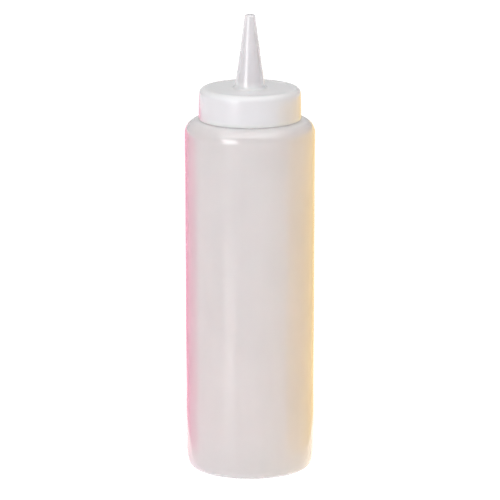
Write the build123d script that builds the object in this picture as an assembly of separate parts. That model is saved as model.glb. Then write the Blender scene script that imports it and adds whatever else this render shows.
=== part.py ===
from build123d import *
import os

# Squeeze bottle for sauces, in three separate pieces: a blow-moulded bottle with a threaded neck,
# a one-piece screw cap with a long pouring cone, and the flat seal ring between the two.
# Millimetres, +Z up. The origin is on the axis, in the plane that the bottle stands on.

# Bottle: outline of the wall, as radii and heights
BODY_RADIUS = 35.1
WALL = 1.1
SHOULDER_TOP = 192.6
SHOULDER_SIZE = 7.9
SHOULDER_FULLNESS = 0.6
SIDE_STATIONS = [(30.0, 34.7), (46.0, 34.5), (90.0, 34.8), (150.0, 34.85)]  # height, radius

# Bottle: heel, standing ring and pushed-up base
HEEL_RADIUS = 34.3
HEEL_RUN = 6.2
HEEL_RISE = 12.8
HEEL_FULLNESS = 0.8
FLOOR = 1.4
RING_WIDTH = 1.5
PUSH_UP = 3.0
PUSH_UP_FLAT = 20.0
PUSH_UP_STEP = 1.0

# Neck and screw thread
LIP_HEIGHT = 207.2
LIP_ROUND = 0.4
NECK_BORE = 22.7
THREAD_ROOT = 24.3
THREAD_CREST = 25.4
NECK_FILLET = 0.8
PITCH = 25.4 / 6
THREAD_HEIGHT = 196.4
THREAD_TURNS = 1.5
RIDGE_ROOT_WIDTH = 2.0
RIDGE_CREST_WIDTH = 1.0
THREAD_CLEARANCE = 0.3
ROOT_OVERLAP = 0.2

# Cap
SKIRT_BOTTOM = 192.8
SKIRT_RADIUS = 27.7
SKIRT_EDGE = 0.4
CAP_TOP = 209.7
CAP_TOP_RADIUS = 27.3
CAP_EDGE = 3.2
CEILING = 208.1
CEILING_ROUND = 1.2
CAP_THREAD_TURNS = 1.25
CAP_THREAD_START = 90.0

# Locating rib under the ceiling and the seal ring around it
RIB_INNER = 20.9
RIB_OUTER = 22.0
RIB_DEPTH = 2.5
SEAL_INNER = 22.2
SEAL_OUTER = 24.4
SEAL_GAP = 0.05

# Pouring cone
CONE_FOOT_RADIUS = 7.95
CONE_FILLET = 2.0
CONE_HOLLOW = 0.25
CONE_INNER_FOOT = 6.4
TIP_HEIGHT = 249.4
TIP_RADIUS = 2.95
TIP_ROUND = 1.3
ORIFICE_RADIUS = 1.3
ORIFICE_LENGTH = 4.0

SHOULDER_BOTTOM = SHOULDER_TOP - SHOULDER_SIZE
SHOULDER_EDGE = BODY_RADIUS - SHOULDER_SIZE
RING_OUTER = HEEL_RADIUS - HEEL_RUN
RING_INNER = RING_OUTER - RING_WIDTH
CAP_WALL_RADIUS = THREAD_CREST + THREAD_CLEARANCE
CAP_THREAD_CREST = THREAD_ROOT + THREAD_CLEARANCE


def base_curve(lift):
    """Underside of the base, from the standing ring in to the axis, raised by lift."""
    return Bezier(
        (RING_INNER, lift),
        (RING_INNER - PUSH_UP_STEP, PUSH_UP + lift),
        (PUSH_UP_FLAT, PUSH_UP + lift),
        (0, PUSH_UP + lift),
    )


def heel_curve(inset, lift):
    """Full rounded heel, from the standing ring out to the side wall."""
    radius = HEEL_RADIUS - inset
    run = radius - RING_OUTER
    rise = HEEL_RISE - lift
    return Bezier(
        (RING_OUTER, lift),
        (RING_OUTER + HEEL_FULLNESS * run, lift),
        (radius, HEEL_RISE - HEEL_FULLNESS * rise),
        (radius, HEEL_RISE),
    )


def side_curve(inset):
    """Side wall with its slight waist, from the heel up to the shoulder."""
    ends = [(HEEL_RISE, HEEL_RADIUS), *SIDE_STATIONS, (SHOULDER_BOTTOM, BODY_RADIUS)]
    return Spline([(radius - inset, height) for height, radius in ends], tangents=[(0, 1), (0, 1)])


def shoulder_curve(inset):
    """Full rounded shoulder, from the side wall up to its flat top."""
    size = SHOULDER_SIZE - inset
    return Bezier(
        (BODY_RADIUS - inset, SHOULDER_BOTTOM),
        (BODY_RADIUS - inset, SHOULDER_BOTTOM + SHOULDER_FULLNESS * size),
        (SHOULDER_EDGE + SHOULDER_FULLNESS * size, SHOULDER_TOP - inset),
        (SHOULDER_EDGE, SHOULDER_TOP - inset),
    )


def wall_curves(inset, lift):
    """The whole of one face of the body wall, from the axis below to the shoulder's top."""
    return [
        base_curve(lift),
        Line((RING_INNER, lift), (RING_OUTER, lift)),
        heel_curve(inset, lift),
        side_curve(inset),
        shoulder_curve(inset),
    ]


def turned(curves):
    """A solid of revolution about Z from closed curves drawn as radius and height."""
    outline = Plane.XZ * make_face(Curve() + curves)
    return revolve(outline, Axis.Z)


def thread(root, crest, height, turns, start_angle):
    """One right-handed ridge from its root radius to its crest, which may be inside the root."""
    outward = 1 if crest > root else -1
    helix = Helix(PITCH, turns * PITCH, root, center=(0, 0, height))
    across = Plane(origin=helix @ 0, x_dir=(outward, 0, 0), z_dir=helix % 0)
    ridge = Polyline(
        (-ROOT_OVERLAP, -RIDGE_ROOT_WIDTH / 2),
        (abs(crest - root), -RIDGE_CREST_WIDTH / 2),
        (abs(crest - root), RIDGE_CREST_WIDTH / 2),
        (-ROOT_OVERLAP, RIDGE_ROOT_WIDTH / 2),
        close=True,
    )
    section = across * make_face(ridge)
    return Rot(0, 0, start_angle) * sweep(section, path=helix, is_frenet=True)


def make_bottle():
    """The bottle: a thin shell from its pushed-up base to the lip of its threaded neck."""
    under_shoulder = SHOULDER_TOP - WALL
    inner_turn = THREAD_ROOT - NECK_BORE
    neck = [
        Line((SHOULDER_EDGE, SHOULDER_TOP), (THREAD_ROOT + NECK_FILLET, SHOULDER_TOP)),
        CenterArc((THREAD_ROOT + NECK_FILLET, SHOULDER_TOP + NECK_FILLET), NECK_FILLET, 180, 90),
        Line((THREAD_ROOT, SHOULDER_TOP + NECK_FILLET), (THREAD_ROOT, LIP_HEIGHT - LIP_ROUND)),
        CenterArc((THREAD_ROOT - LIP_ROUND, LIP_HEIGHT - LIP_ROUND), LIP_ROUND, 0, 90),
        Line((THREAD_ROOT - LIP_ROUND, LIP_HEIGHT), (NECK_BORE + LIP_ROUND, LIP_HEIGHT)),
        CenterArc((NECK_BORE + LIP_ROUND, LIP_HEIGHT - LIP_ROUND), LIP_ROUND, 90, 90),
        Line((NECK_BORE, LIP_HEIGHT - LIP_ROUND), (NECK_BORE, under_shoulder + inner_turn)),
        CenterArc((THREAD_ROOT, under_shoulder + inner_turn), inner_turn, 180, 90),
        Line((THREAD_ROOT, under_shoulder), (SHOULDER_EDGE, under_shoulder)),
    ]
    on_axis = Line((0, PUSH_UP), (0, PUSH_UP + FLOOR))
    shell = turned(wall_curves(0, 0) + neck + wall_curves(WALL, FLOOR) + [on_axis])
    return shell + thread(THREAD_ROOT, THREAD_CREST, THREAD_HEIGHT, THREAD_TURNS, 0)


def make_nozzle_cap():
    """The cap: skirt, top and pouring cone in one moulding, with the thread inside the skirt."""
    edge_height = CAP_TOP - CAP_EDGE
    edge_centre = CAP_TOP_RADIUS - CAP_EDGE
    round_centre = CAP_WALL_RADIUS - CEILING_ROUND
    tip_centre = TIP_RADIUS - TIP_ROUND
    tip_edge = TIP_HEIGHT - TIP_ROUND
    land_bottom = TIP_HEIGHT - ORIFICE_LENGTH
    cone_foot = CAP_TOP + CONE_FILLET
    cone_waist = ((CONE_FOOT_RADIUS + TIP_RADIUS) / 2 - CONE_HOLLOW, (cone_foot + tip_edge) / 2)
    outside = [
        Line((CAP_WALL_RADIUS, SKIRT_BOTTOM), (SKIRT_RADIUS - SKIRT_EDGE, SKIRT_BOTTOM)),
        CenterArc((SKIRT_RADIUS - SKIRT_EDGE, SKIRT_BOTTOM + SKIRT_EDGE), SKIRT_EDGE, -90, 90),
        Line((SKIRT_RADIUS, SKIRT_BOTTOM + SKIRT_EDGE), (CAP_TOP_RADIUS, edge_height)),
        CenterArc((edge_centre, edge_height), CAP_EDGE, 0, 90),
        Line((edge_centre, CAP_TOP), (CONE_FOOT_RADIUS + CONE_FILLET, CAP_TOP)),
        CenterArc((CONE_FOOT_RADIUS + CONE_FILLET, cone_foot), CONE_FILLET, 180, 90),
        Bezier((CONE_FOOT_RADIUS, cone_foot), cone_waist, (TIP_RADIUS, tip_edge)),
        CenterArc((tip_centre, tip_edge), TIP_ROUND, 0, 90),
    ]
    inside = [
        Line((tip_centre, TIP_HEIGHT), (ORIFICE_RADIUS, TIP_HEIGHT)),
        Line((ORIFICE_RADIUS, TIP_HEIGHT), (ORIFICE_RADIUS, land_bottom)),
        Line((ORIFICE_RADIUS, land_bottom), (CONE_INNER_FOOT, CEILING)),
        Line((CONE_INNER_FOOT, CEILING), (RIB_INNER, CEILING)),
        Line((RIB_INNER, CEILING), (RIB_INNER, CEILING - RIB_DEPTH)),
        Line((RIB_INNER, CEILING - RIB_DEPTH), (RIB_OUTER, CEILING - RIB_DEPTH)),
        Line((RIB_OUTER, CEILING - RIB_DEPTH), (RIB_OUTER, CEILING)),
        Line((RIB_OUTER, CEILING), (round_centre, CEILING)),
        CenterArc((round_centre, CEILING - CEILING_ROUND), CEILING_ROUND, 0, 90),
        Line((CAP_WALL_RADIUS, CEILING - CEILING_ROUND), (CAP_WALL_RADIUS, SKIRT_BOTTOM)),
    ]
    # The cap's ridge runs midway between the turns of the bottle's, on the same helix.
    height = THREAD_HEIGHT + (CAP_THREAD_START / 360 - 0.5) * PITCH
    ridge = thread(CAP_WALL_RADIUS, CAP_THREAD_CREST, height, CAP_THREAD_TURNS, CAP_THREAD_START)
    return turned(outside + inside) + ridge


def make_seal_ring():
    """The seal ring: a flat washer that lies on the lip and is centred by the cap's rib."""
    bottom = LIP_HEIGHT + SEAL_GAP
    thickness = CEILING - SEAL_GAP - bottom
    washer = Circle(SEAL_OUTER) - Circle(SEAL_INNER)
    return Pos(0, 0, bottom) * extrude(washer, thickness)


PIECES = {
    "bottle": make_bottle,
    "nozzle_cap": make_nozzle_cap,
    "seal_ring": make_seal_ring,
}

os.makedirs("parts", exist_ok=True)
for name, make in PIECES.items():
    export_step(make(), f"parts/{name}.step")
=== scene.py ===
import math

import bmesh
import bpy
from mathutils import Matrix, Vector, noise
from mathutils.geometry import interpolate_bezier


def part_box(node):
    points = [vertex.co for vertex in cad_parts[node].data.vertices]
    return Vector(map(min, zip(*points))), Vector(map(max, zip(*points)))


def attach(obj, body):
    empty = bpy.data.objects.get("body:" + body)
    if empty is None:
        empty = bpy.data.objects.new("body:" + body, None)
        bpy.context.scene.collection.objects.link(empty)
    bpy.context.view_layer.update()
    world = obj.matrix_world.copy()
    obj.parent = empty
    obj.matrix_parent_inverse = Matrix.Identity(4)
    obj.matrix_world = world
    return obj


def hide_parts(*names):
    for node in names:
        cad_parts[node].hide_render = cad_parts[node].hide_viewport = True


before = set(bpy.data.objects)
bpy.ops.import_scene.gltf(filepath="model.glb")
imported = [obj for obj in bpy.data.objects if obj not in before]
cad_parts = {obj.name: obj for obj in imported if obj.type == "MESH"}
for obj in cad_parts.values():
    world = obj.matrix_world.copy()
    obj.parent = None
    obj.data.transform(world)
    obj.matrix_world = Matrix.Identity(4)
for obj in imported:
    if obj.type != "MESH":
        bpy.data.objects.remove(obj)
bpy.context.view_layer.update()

# ---------------------------------------------------------------------------------------------
# Bottle. One piece of natural low-density polyethylene, blow-moulded from a hanging tube: a thin
# round shell with a full heel, a pushed-up base and a threaded neck. The two halves of the mould
# leave a fine line up both sides, and a scar across the base where they pinch the tube shut.
# ---------------------------------------------------------------------------------------------
_, BOTTLE_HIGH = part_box("bottle")
BODY_RADIUS = BOTTLE_HIGH.x
LIP_HEIGHT = BOTTLE_HIGH.z
WALL = 0.0011
FLOOR = 0.0014
SHOULDER_TOP = 0.1926
SHOULDER_SIZE = 0.0079
SHOULDER_FULLNESS = 0.60
SIDE_STATIONS = [(0.030, 0.0347), (0.046, 0.0345), (0.090, 0.0348), (0.150, 0.03485)]
HEEL_RADIUS = 0.0343
HEEL_RUN = 0.0062
HEEL_RISE = 0.0128
HEEL_FULLNESS = 0.80
RING_WIDTH = 0.0015
PUSH_UP = 0.0030
PUSH_UP_FLAT = 0.020
PUSH_UP_STEP = 0.0010
NECK_BORE = 0.0227
NECK_RADIUS = 0.0243
NECK_FILLET = 0.0008
LIP_ROUND = 0.0004

AROUND = 160  # faces in one turn of a moulded wall
BEND_STEPS = 9
LONG_BEND_STEPS = 18
SIDE_STEPS = 12  # for each stretch between two stations
CIRCULAR = 0.5523  # share of the way to the corner that makes a quarter circle of a curve
MERGE = 1e-6
SHARP = math.radians(50)  # a moulded edge that turns by more than this looks sharp


def point(radius, height):
    """A place on an outline, which is drawn in the XZ plane."""
    return Vector((radius, 0, height))


def bend(start, corner, end, fullness=CIRCULAR, steps=BEND_STEPS):
    """A rounded corner from start to end. The fuller it is, the closer it runs to the corner."""
    leaving = start.lerp(corner, fullness)
    arriving = end.lerp(corner, fullness)
    return interpolate_bezier(start, leaving, arriving, end, steps)


def rounded(before, corner, after, size):
    """A corner rounded off by the same size along both of its sides."""
    start = corner + (before - corner).normalized() * size
    end = corner + (after - corner).normalized() * size
    return bend(start, corner, end)


def straight(start, end, steps):
    """Points evenly spaced along a straight run, without its last one."""
    return [start.lerp(end, step / steps) for step in range(steps)]


def flowing(stations, inset):
    """A smooth wall through (height, radius) stations that starts and ends upright."""
    slopes = [0.0]
    for (low, thin), (high, wide) in zip(stations, stations[2:]):
        slopes.append((wide - thin) / (high - low))
    slopes.append(0.0)
    points = []
    for index in range(len(stations) - 1):
        (low, first), (high, last) = stations[index], stations[index + 1]
        third = (high - low) / 3
        points += interpolate_bezier(
            point(first - inset, low),
            point(first - inset + slopes[index] * third, low + third),
            point(last - inset - slopes[index + 1] * third, high - third),
            point(last - inset, high),
            SIDE_STEPS,
        )[:-1]
    return points


def body_wall(inset, lift):
    """One face of the body's wall, from the middle of the base up to the top of the shoulder."""
    ring_outer = HEEL_RADIUS - HEEL_RUN
    ring_inner = ring_outer - RING_WIDTH
    shoulder_bottom = SHOULDER_TOP - SHOULDER_SIZE
    heel_top = (HEEL_RISE, HEEL_RADIUS)
    side_top = (shoulder_bottom, BODY_RADIUS)
    base = interpolate_bezier(
        point(0, PUSH_UP + lift),
        point(PUSH_UP_FLAT, PUSH_UP + lift),
        point(ring_inner - PUSH_UP_STEP, PUSH_UP + lift),
        point(ring_inner, lift),
        LONG_BEND_STEPS,
    )
    heel = bend(
        point(ring_outer, lift),
        point(HEEL_RADIUS - inset, lift),
        point(HEEL_RADIUS - inset, HEEL_RISE),
        HEEL_FULLNESS,
        LONG_BEND_STEPS,
    )
    shoulder = bend(
        point(BODY_RADIUS - inset, shoulder_bottom),
        point(BODY_RADIUS - inset, SHOULDER_TOP - inset),
        point(BODY_RADIUS - SHOULDER_SIZE, SHOULDER_TOP - inset),
        SHOULDER_FULLNESS,
        LONG_BEND_STEPS,
    )
    return base + heel[:-1] + flowing([heel_top, *SIDE_STATIONS, side_top], inset) + shoulder


def turn_on_lathe(outline):
    """A closed wall: the outline as a chain of edges, spun once about the upright axis."""
    shape = bmesh.new()
    verts = [shape.verts.new(place) for place in outline]
    edges = [shape.edges.new(pair) for pair in zip(verts, verts[1:])]
    if min(verts[0].co.x, verts[-1].co.x) > MERGE:
        edges.append(shape.edges.new((verts[-1], verts[0])))
    bmesh.ops.spin(
        shape,
        geom=verts + edges,
        cent=(0, 0, 0),
        axis=(0, 0, 1),
        angle=math.tau,
        steps=AROUND,
        use_merge=True,
    )
    bmesh.ops.remove_doubles(shape, verts=shape.verts[:], dist=MERGE)
    bmesh.ops.recalc_face_normals(shape, faces=shape.faces[:])
    return shape


PITCH = 0.0254 / 6
THREAD_DEPTH = 0.0011
RIDGE_ROOT = 0.0020
RIDGE_CREST = 0.0010
RUN_OUT = 0.09  # turns over which a ridge fades at each end
THREAD_FOOT = 0.1964
THREAD_TURNS = 1.5


def between(value):
    """The value kept between 0 and 1."""
    return min(1.0, max(0.0, value))


def thread_rise(place, foot, start, turns):
    """How far a right-handed ridge stands out of its wall here. It begins at the start's turn."""
    turn = (math.atan2(place.y, place.x) / math.tau - start) % 1.0
    rise = 0.0
    while turn <= turns:
        away = abs(place.z - foot - turn * PITCH)
        flank = between((RIDGE_ROOT / 2 - away) / (RIDGE_ROOT / 2 - RIDGE_CREST / 2))
        rise = max(rise, flank * between(min(turn, turns - turn) / RUN_OUT))
        turn += 1.0
    return rise * THREAD_DEPTH


def push_out(vert, distance):
    """Move a vertex straight away from the upright axis."""
    vert.co += Vector((vert.co.x, vert.co.y, 0)).normalized() * distance


def finished(shape, name, material):
    """The bmesh as an object in the scene, smooth except at its sharp moulded edges."""
    for face in shape.faces:
        face.smooth = True
    for edge in shape.edges:
        edge.smooth = edge.calc_face_angle(0) < SHARP
    mesh = bpy.data.meshes.new(name)
    shape.to_mesh(mesh)
    shape.free()
    mesh.materials.append(material)
    piece = bpy.data.objects.new(name, mesh)
    bpy.context.scene.collection.objects.link(piece)
    return piece


class Reading:
    """A number that varies over a surface, so that shader sums are written as expressions."""

    def __init__(self, plastic, socket):
        self.plastic = plastic
        self.socket = socket

    def sum(self, operation, first, second):
        node = self.plastic.add("Math", {"operation": operation}, {0: first, 1: second})
        return Reading(self.plastic, node.outputs[0])

    def __add__(self, other):
        return self.sum("ADD", self, other)

    def __radd__(self, other):
        return self.sum("ADD", other, self)

    def __mul__(self, other):
        return self.sum("MULTIPLY", self, other)

    def __rmul__(self, other):
        return self.sum("MULTIPLY", other, self)


class Plastic:
    """A procedural plastic: its node tree, and one way to add a node to it."""

    def __init__(self, name):
        self.material = bpy.data.materials.new(name)
        self.material.use_nodes = True
        self.tree = self.material.node_tree
        self.tree.nodes.clear()
        self.place = self.add("TexCoord", {}, {}).outputs["Object"]

    def add(self, kind, settings, sockets):
        """A node of this kind, its settings made first, then its sockets given values or links."""
        node = self.tree.nodes.new("ShaderNode" + kind)
        for name, value in settings.items():
            setattr(node, name, value)
        for name, value in sockets.items():
            value = value.socket if isinstance(value, Reading) else value
            if isinstance(value, bpy.types.NodeSocket):
                self.tree.links.new(value, node.inputs[name])
            else:
                node.inputs[name].default_value = value
        return node

    def noise(self, scale, detail=2.0, stretch=(1, 1, 1)):
        """Soft noise of this many patches to the metre, stretched along the axes."""
        where = self.add("Mapping", {}, {"Vector": self.place, "Scale": stretch})
        field = self.add(
            "TexNoise", {}, {"Vector": where.outputs[0], "Scale": scale, "Detail": detail}
        )
        return Reading(self, field.outputs["Fac"])

    def height(self):
        """The height of each place on the surface."""
        parts = self.add("SeparateXYZ", {}, {"Vector": self.place})
        return Reading(self, parts.outputs["Z"])

    def rising(self, value, low, high):
        """0 before low and 1 past high, with a smooth rise between; low may be above high."""
        node = self.add(
            "MapRange",
            {"interpolation_type": "SMOOTHSTEP"},
            {"Value": value, "From Min": low, "From Max": high},
        )
        return Reading(self, node.outputs["Result"])

    def mixed(self, share, first, second):
        """A colour this share of the way from the first to the second."""
        node = self.add("Mix", {"data_type": "RGBA"}, {"Factor": share, "A": first, "B": second})
        return node.outputs["Result"]

    def bumps(self, height, strength, depth):
        """The direction of a surface with shallow bumps of this height."""
        node = self.add("Bump", {}, {"Strength": strength, "Distance": depth, "Height": height})
        return node.outputs[0]

    def surfaced(self, shader):
        """The finished material, with this shader for its surface."""
        self.add("OutputMaterial", {}, {"Surface": shader.outputs[0]})
        return self.material


CLOUDS = 34  # soft patches to the metre
STREAKS = 90
STREAK_STRETCH = (1, 1, 0.06)  # the streaks run up the bottle
STREAK_SHARE = 0.4  # of the cloudiness
CLOUDY_FROM = 0.35
CLOUDY_TO = 0.65
PEEL = 500  # the skin's fine unevenness
PEEL_STRENGTH = 0.05
PEEL_DEPTH = 0.0003
STREAK_ROUGHNESS = 0.05
REFRACTION = 1.51
COAT = 0.8
COAT_ROUGHNESS = 0.10
SCATTER = 0.006  # how far light spreads in the plastic
SCATTER_SHARES = (1.0, 0.9, 0.9)  # of that for red, green and blue light
# painted light for the shade in the gap between the cap's skirt and the bottle's shoulder
GAP_PAINTED_LIGHT = (0.985, 0.975, 0.98, 1)


def natural_polyethylene(name, deep, milky, painted_light_bands, sheen, clearness):
    """Waxy, translucent polyethylene: cloudy, and drawn in long streaks.

    The bands are painted light and painted shade, each painted in between its two heights.
    """
    plastic = Plastic(name)
    clouds = plastic.noise(CLOUDS, detail=3.0)
    streaks = plastic.noise(STREAKS, stretch=STREAK_STRETCH)
    peel = plastic.noise(PEEL)
    cloudiness = clouds * (1 - STREAK_SHARE) + streaks * STREAK_SHARE
    colour = plastic.mixed(plastic.rising(cloudiness, CLOUDY_FROM, CLOUDY_TO), deep, milky)
    for painted_tone, start, end in painted_light_bands:
        colour = plastic.mixed(plastic.rising(plastic.height(), start, end), colour, painted_tone)
    skin = plastic.add(
        "BsdfPrincipled",
        {},
        {
            "Base Color": colour,
            "Roughness": sheen + streaks * STREAK_ROUGHNESS,
            "Normal": plastic.bumps(peel, PEEL_STRENGTH, PEEL_DEPTH),
            "IOR": REFRACTION,
            "Coat Weight": COAT,
            "Coat Roughness": COAT_ROUGHNESS,
            "Transmission Weight": clearness,
            "Subsurface Weight": 1.0,
            "Subsurface Radius": SCATTER_SHARES,
            "Subsurface Scale": SCATTER,
        },
    )
    return plastic.surfaced(skin)


THREAD_ROWS = 54  # rows of faces up a threaded wall, fine enough for the ridge's flanks

under_shoulder = SHOULDER_TOP - WALL
neck_inside = [
    *rounded(
        point(NECK_RADIUS, under_shoulder),
        point(NECK_BORE, under_shoulder),
        point(NECK_BORE, LIP_HEIGHT),
        NECK_RADIUS - NECK_BORE,
    ),
    *rounded(
        point(NECK_BORE, SHOULDER_TOP),
        point(NECK_BORE, LIP_HEIGHT),
        point(NECK_RADIUS, LIP_HEIGHT),
        LIP_ROUND,
    ),
]
lip_edge = rounded(
    point(NECK_BORE, LIP_HEIGHT),
    point(NECK_RADIUS, LIP_HEIGHT),
    point(NECK_RADIUS, SHOULDER_TOP),
    LIP_ROUND,
)
neck_root = rounded(
    point(NECK_RADIUS, LIP_HEIGHT),
    point(NECK_RADIUS, SHOULDER_TOP),
    point(BODY_RADIUS, SHOULDER_TOP),
    NECK_FILLET,
)
neck_outside = [*lip_edge[:-1], *straight(lip_edge[-1], neck_root[0], THREAD_ROWS), *neck_root]
bottle_outline = body_wall(WALL, FLOOR) + neck_inside + neck_outside + body_wall(0, 0)[::-1]

WAVE_DEPTH = 0.00014
WAVE_LEVEL = 0.5  # of the depth, which the wall is drawn in by on average
WAVES_PER_METRE = 42
WAVE_STRETCH = 0.55  # the waves are longer up the bottle, the way the tube was drawn
WAVES_FROM = 0.004
WAVES_TO = SHOULDER_TOP - 0.002
WAVES_FADE = 0.020
LINE_WIDTH = 0.0004
LINE_RISE = 0.00007
LINE_FROM = 0.001
LINE_TO = SHOULDER_TOP - 0.001
LINE_FADE = 0.010
SCAR_WIDTH = 0.0014
SCAR_LENGTH = 0.040
SCAR_DEPTH = 0.0005


def fading(value, low, high, margin):
    """1 inside this range of heights, falling smoothly to 0 towards both of its ends."""
    share = between(min(value - low, high - value) / margin)
    return share * share * (3 - 2 * share)


def drawn_in(place):
    """How far the blown wall has shrunk in here: broad, shallow, uneven waves."""
    waves = Vector((place.x, place.y, place.z * WAVE_STRETCH)) * WAVES_PER_METRE
    depth = WAVE_DEPTH * (WAVE_LEVEL + noise.noise(waves))
    return depth * fading(place.z, WAVES_FROM, WAVES_TO, WAVES_FADE)


def on_mould_line(vert):
    """Whether a vertex is on the outer wall where the halves of the mould met."""
    return abs(vert.co.y) < MERGE and vert.normal.x * vert.co.x > 0


def raise_mould_line(shell):
    """The fine line that the two halves of the mould leave up both sides, from heel to shoulder."""
    line = {
        vert for vert in shell.verts if on_mould_line(vert) and LINE_FROM < vert.co.z < LINE_TO
    }
    edges = [edge for edge in shell.edges if line.issuperset(edge.verts)]
    bmesh.ops.bevel(
        shell,
        geom=edges,
        offset=LINE_WIDTH / 2,
        segments=2,
        profile=0.5,
        affect="EDGES",
        material=-1,
    )
    for vert in shell.verts:
        if on_mould_line(vert) and vert.co.z < SHOULDER_TOP:
            rise = LINE_RISE * fading(vert.co.z, LINE_FROM, LINE_TO, LINE_FADE)
            push_out(vert, min(rise, BODY_RADIUS - vert.co.xy.length))


def press_scar(shell):
    """The scar across the underside where the mould pinched the tube shut."""
    for vert in shell.verts:
        if vert.co.z < PUSH_UP + MERGE and vert.normal.z < 0:
            across = between(1 - abs(vert.co.y) / SCAR_WIDTH)
            along = between((SCAR_LENGTH / 2 - abs(vert.co.x)) / SCAR_WIDTH)
            vert.co.z -= SCAR_DEPTH * across * along


bottle_shell = turn_on_lathe(bottle_outline)
bottle_shell.normal_update()
for vert in bottle_shell.verts:
    if vert.co.z > SHOULDER_TOP + NECK_FILLET and vert.co.xy.length > NECK_RADIUS - MERGE:
        push_out(vert, thread_rise(vert.co, THREAD_FOOT, 0, THREAD_TURNS))
    elif vert.co.xy.length > MERGE:
        push_out(vert, -drawn_in(vert.co))
press_scar(bottle_shell)
raise_mould_line(bottle_shell)

bottle_plastic = natural_polyethylene(
    "bottle_polyethylene",
    deep=(0.83, 0.79, 0.80, 1),
    milky=(0.87, 0.83, 0.84, 1),
    # painted light on the shoulder's top, in the shade under the cap's skirt
    painted_light_bands=[(GAP_PAINTED_LIGHT, SHOULDER_TOP - 0.0014, SHOULDER_TOP)],
    sheen=0.15,
    clearness=0.48,
)
bottle = finished(bottle_shell, "bottle_shell", bottle_plastic)
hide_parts("bottle")
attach(bottle, "bottle")

# ---------------------------------------------------------------------------------------------
# Seal ring. A flat washer of pale silicone, pressed under the cap's ceiling round its rib, which
# the neck's lip bears on when the cap is screwed down.
# ---------------------------------------------------------------------------------------------
SEAL_LOW, SEAL_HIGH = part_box("seal_ring")
SEAL_BORE = 0.0222
SEAL_ROUND = 0.00015
CLOUDY_SILICONE = (0.78, 0.78, 0.75, 1)
PALE_SILICONE = (0.86, 0.86, 0.84, 1)
SILICONE_CLOUDS = 150
DUST = 1800
DUST_STRENGTH = 0.2
DUST_DEPTH = 0.0001
SILICONE_ROUGHNESS = 0.55
DUST_ROUGHNESS = 0.2
SILICONE_REFRACTION = 1.41


def closed_outline(corners, size):
    """A closed outline with all its corners rounded off alike."""
    points = []
    for index, corner in enumerate(corners):
        points += rounded(corners[index - 1], corner, corners[(index + 1) % len(corners)], size)
    return points


def silicone(name):
    """Pale, slightly cloudy silicone with a dusty matt skin."""
    plastic = Plastic(name)
    clouds = plastic.noise(SILICONE_CLOUDS, detail=3.0)
    dust = plastic.noise(DUST, detail=3.0)
    skin = plastic.add(
        "BsdfPrincipled",
        {},
        {
            "Base Color": plastic.mixed(clouds, CLOUDY_SILICONE, PALE_SILICONE),
            "Roughness": SILICONE_ROUGHNESS + dust * DUST_ROUGHNESS,
            "Normal": plastic.bumps(dust, DUST_STRENGTH, DUST_DEPTH),
            "IOR": SILICONE_REFRACTION,
        },
    )
    return plastic.surfaced(skin)


seal_corners = [
    point(SEAL_BORE, SEAL_LOW.z),
    point(SEAL_HIGH.x, SEAL_LOW.z),
    point(SEAL_HIGH.x, SEAL_HIGH.z),
    point(SEAL_BORE, SEAL_HIGH.z),
]
seal_shell = turn_on_lathe(closed_outline(seal_corners, SEAL_ROUND))
seal = finished(seal_shell, "seal_washer", silicone("seal_rubber"))
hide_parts("seal_ring")
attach(seal, "seal")

# ---------------------------------------------------------------------------------------------
# Nozzle cap. Skirt, top and long pouring cone injection-moulded in one, in the same plastic but
# thicker and so milkier; the thread is inside the skirt and a rib under the ceiling holds the seal.
# ---------------------------------------------------------------------------------------------
CAP_LOW, CAP_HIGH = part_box("nozzle_cap")
SKIRT_BOTTOM = CAP_LOW.z
SKIRT_RADIUS = CAP_HIGH.x
SKIRT_EDGE = 0.0004
CAP_TOP = 0.2097
CAP_TOP_RADIUS = 0.0273
CAP_EDGE = 0.0032
CEILING = 0.2081
CEILING_ROUND = 0.0012
CAP_WALL_RADIUS = 0.0257
RIB_INNER = 0.0209
RIB_OUTER = 0.0220
RIB_BOTTOM = CEILING - 0.0025
CONE_FOOT_RADIUS = 0.00795
CONE_FILLET = 0.0020
CONE_HOLLOW = 0.00025
CONE_INNER_FOOT = 0.0064
TIP_HEIGHT = CAP_HIGH.z
TIP_RADIUS = 0.00295
TIP_ROUND = 0.0013
ORIFICE_RADIUS = 0.0013
ORIFICE_LENGTH = 0.0040
CAP_THREAD_START = 0.25
CAP_THREAD_TURNS = 1.25
CONE_STEPS = 24
TWO_THIRDS = 2 / 3  # makes a bend the same curve as one drawn with a single handle
TOP_STEPS = 8

skirt_foot = point(SKIRT_RADIUS, SKIRT_BOTTOM)
top_edge = point(CAP_TOP_RADIUS, CAP_TOP)
cone_foot = point(CONE_FOOT_RADIUS, CAP_TOP)
cone_tip = point(TIP_RADIUS, TIP_HEIGHT)
land = point(ORIFICE_RADIUS, TIP_HEIGHT - ORIFICE_LENGTH)
ceiling_corner = point(CAP_WALL_RADIUS, CEILING)
skirt_inside = point(CAP_WALL_RADIUS, SKIRT_BOTTOM)

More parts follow.
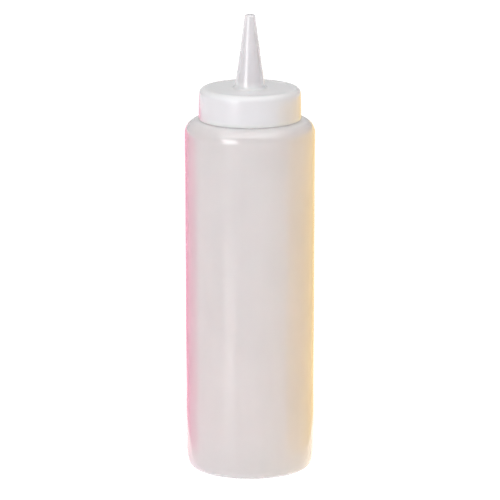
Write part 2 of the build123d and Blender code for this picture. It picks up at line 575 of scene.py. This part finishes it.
skirt_bend = rounded(skirt_inside, skirt_foot, top_edge, SKIRT_EDGE)
top_bend = rounded(skirt_foot, top_edge, cone_foot, CAP_EDGE)
foot_bend = rounded(top_edge, cone_foot, point(CONE_FOOT_RADIUS, TIP_HEIGHT), CONE_FILLET)
tip_bend = rounded(point(TIP_RADIUS, CAP_TOP), cone_tip, point(0, TIP_HEIGHT), TIP_ROUND)
cone_waist = foot_bend[-1].lerp(tip_bend[0], 0.5) - point(CONE_HOLLOW, 0)
ceiling_bend = rounded(point(RIB_OUTER, CEILING), ceiling_corner, skirt_inside, CEILING_ROUND)
cap_outline = [
    *skirt_bend[:-1],
    *straight(skirt_bend[-1], top_bend[0], TOP_STEPS),
    *top_bend[:-1],
    *straight(top_bend[-1], foot_bend[0], TOP_STEPS),
    *foot_bend[:-1],
    *bend(foot_bend[-1], cone_waist, tip_bend[0], TWO_THIRDS, CONE_STEPS)[:-1],
    *tip_bend,
    point(ORIFICE_RADIUS, TIP_HEIGHT),
    *straight(land, point(CONE_INNER_FOOT, CEILING), CONE_STEPS),
    point(CONE_INNER_FOOT, CEILING),
    point(RIB_INNER, CEILING),
    point(RIB_INNER, RIB_BOTTOM),
    point(RIB_OUTER, RIB_BOTTOM),
    point(RIB_OUTER, CEILING),
    *ceiling_bend[:-1],
    *straight(ceiling_bend[-1], skirt_inside, THREAD_ROWS),
    skirt_inside,
]
CAP_THREAD_FOOT = THREAD_FOOT + (CAP_THREAD_START - 0.5) * PITCH

cap_shell = turn_on_lathe(cap_outline)
for vert in cap_shell.verts:
    if vert.co.z < CEILING - CEILING_ROUND and abs(vert.co.xy.length - CAP_WALL_RADIUS) < MERGE:
        push_out(vert, -thread_rise(vert.co, CAP_THREAD_FOOT, CAP_THREAD_START, CAP_THREAD_TURNS))

# painted light on the cap's flat top, which the light from above brightens
TOP_PAINTED_LIGHT = (0.99, 0.955, 0.98, 1)
# painted shade on the pouring cone, greying it against the rest of the cap
CONE_PAINTED_SHADE = (0.78, 0.75, 0.78, 1)
cap_plastic = natural_polyethylene(
    "cap_polyethylene",
    deep=(0.875, 0.835, 0.88, 1),
    milky=(0.895, 0.855, 0.90, 1),
    painted_light_bands=[
        # painted light on the skirt's bottom edge, in the shade of the gap above the shoulder
        (GAP_PAINTED_LIGHT, SKIRT_BOTTOM + 0.0030, SKIRT_BOTTOM + 0.0006),
        # painted light on the cap's top
        (TOP_PAINTED_LIGHT, CAP_TOP - 0.0030, CAP_TOP - 0.0002),
        # painted shade on the cone
        (CONE_PAINTED_SHADE, CAP_TOP + 0.0010, CAP_TOP + 0.0050),
    ],
    sheen=0.20,
    clearness=0.35,
)
cap = finished(cap_shell, "cap_and_cone", cap_plastic)
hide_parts("nozzle_cap")
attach(cap, "cap")

# ---------------------------------------------------------------------------------------------
# Studio. A wide white floor under an even white sky, soft boxes from the front left, low down and
# overhead that light the bottle alone, and a rose and an amber card close beside it for its tints.
# ---------------------------------------------------------------------------------------------
FLOOR_RADIUS = 12.0
FLOOR_SIDES = 96
FLOOR_GLOW = 0.60  # with the sky's light it makes the floor a pure, even white
SKY_LIGHT = 0.60
DULL_WHITE = (0.90, 0.90, 0.90, 1)
CLEAN_WHITE = (0.93, 0.93, 0.93, 1)
PAINT_PATCHES = 1.5
PAINT_ROUGHNESS = 0.9
ROSE = (1.14, 0.41, 0.61, 1)
AMBER = (1.25, 0.92, 0.44, 1)


def floor_paint():
    """Plain white paint with a barely uneven coat."""
    paint = Plastic("floor_paint")
    coat = paint.noise(PAINT_PATCHES)
    skin = paint.add(
        "BsdfPrincipled",
        {},
        {
            "Base Color": paint.mixed(coat, DULL_WHITE, CLEAN_WHITE),
            "Roughness": PAINT_ROUGHNESS,
            "Emission Color": (1, 1, 1, 1),
            "Emission Strength": FLOOR_GLOW,
        },
    )
    return paint.surfaced(skin)


ground = bmesh.new()
bmesh.ops.create_circle(ground, cap_ends=True, radius=FLOOR_RADIUS, segments=FLOOR_SIDES)
floor = finished(ground, "floor", floor_paint())

world = bpy.data.worlds.new("sky")
world.use_nodes = True
sky = world.node_tree.nodes["Background"]
sky.inputs["Color"].default_value = (1, 1, 1, 1)
sky.inputs["Strength"].default_value = SKY_LIGHT
bpy.context.scene.world = world

bottle_only = bpy.data.collections.new("bottle_only")
for piece in (bottle, seal, cap):
    bottle_only.objects.link(piece)
floor_only = bpy.data.collections.new("floor_only")
floor_only.objects.link(floor)


def soft_box(name, azimuth, elevation, distance, wide, tall, power, blockers):
    """A soft light aimed at the bottle's middle, unseen itself. Only the blockers shade it."""
    light = bpy.data.lights.new(name, "AREA")
    light.shape = "RECTANGLE"
    light.size = wide
    light.size_y = tall
    light.energy = power
    box = bpy.data.objects.new(name, light)
    turn, rise = math.radians(azimuth), math.radians(elevation)
    level = math.cos(rise)
    away = Vector((math.sin(turn) * level, -math.cos(turn) * level, math.sin(rise)))
    box.location = Vector((0, 0, LIP_HEIGHT / 2)) + away * distance
    box.rotation_euler = away.to_track_quat("Z", "Y").to_euler()
    box.visible_camera = False
    box.light_linking.receiver_collection = bottle_only
    box.light_linking.blocker_collection = blockers
    bpy.context.scene.collection.objects.link(box)


def coloured_card(name, aside, front, back, top, colour):
    """An upright glowing card beside the bottle, about shoulder high and unseen itself."""
    card = bmesh.new()
    bmesh.ops.create_grid(card, x_segments=1, y_segments=1, size=0.5)  # a metre each way
    upright = Matrix.Rotation(math.pi / 2, 3, "Y")
    bmesh.ops.rotate(card, verts=card.verts[:], cent=(0, 0, 0), matrix=upright)
    bmesh.ops.scale(card, verts=card.verts[:], vec=(1, back - front, top))
    bmesh.ops.translate(card, verts=card.verts[:], vec=(aside, (front + back) / 2, top / 2))
    glow = Plastic(name + "_glow")
    lamp = glow.add("Emission", {}, {"Color": colour, "Strength": 1.0})
    panel = finished(card, name, glow.surfaced(lamp))
    panel.visible_camera = False


soft_box(
    "front_left_box",
    azimuth=-35.5,
    elevation=14.5,
    distance=1.2,
    wide=0.50,
    tall=0.62,
    power=4.0,
    blockers=bottle_only,
)
soft_box(
    "low_strip",
    azimuth=-36,
    elevation=-17,
    distance=0.55,
    wide=0.18,
    tall=0.165,
    power=0.055,
    blockers=bottle_only,
)
soft_box(
    "overhead_box",
    azimuth=0,
    elevation=57,
    distance=1.4,
    wide=2.6,
    tall=0.5,
    power=7.0,
    blockers=floor_only,
)
soft_box(
    "top_box",
    azimuth=180,
    elevation=84,
    distance=1.4,
    wide=1.6,
    tall=1.0,
    power=6.0,
    blockers=bottle_only,
)
coloured_card("rose_card", aside=-0.070, front=-0.004, back=0.30, top=0.184, colour=ROSE)
coloured_card("amber_card", aside=0.070, front=-0.047, back=0.30, top=0.197, colour=AMBER)

# ---------------------------------------------------------------------------------------------
# Camera. Far off with a long lens, a little above the bottle and aimed just under its middle, so
# that its sides look almost parallel.
# ---------------------------------------------------------------------------------------------
CAMERA_DISTANCE = 2.520
CAMERA_RISE = math.radians(13.0)
AIM_HEIGHT = 0.12019
FILM_WIDTH = 36.0
FOCAL_LENGTH = 335.664

lens = bpy.data.cameras.new("camera")
lens.sensor_width = FILM_WIDTH
lens.lens = FOCAL_LENGTH
camera = bpy.data.objects.new("camera", lens)
toward = Vector((0, -math.cos(CAMERA_RISE), math.sin(CAMERA_RISE)))
camera.location = Vector((0, 0, AIM_HEIGHT)) + toward * CAMERA_DISTANCE
camera.rotation_euler = toward.to_track_quat("Z", "Y").to_euler()
bpy.context.scene.collection.objects.link(camera)
bpy.context.scene.camera = camera
bpy.context.scene.view_settings.view_transform = "Standard"
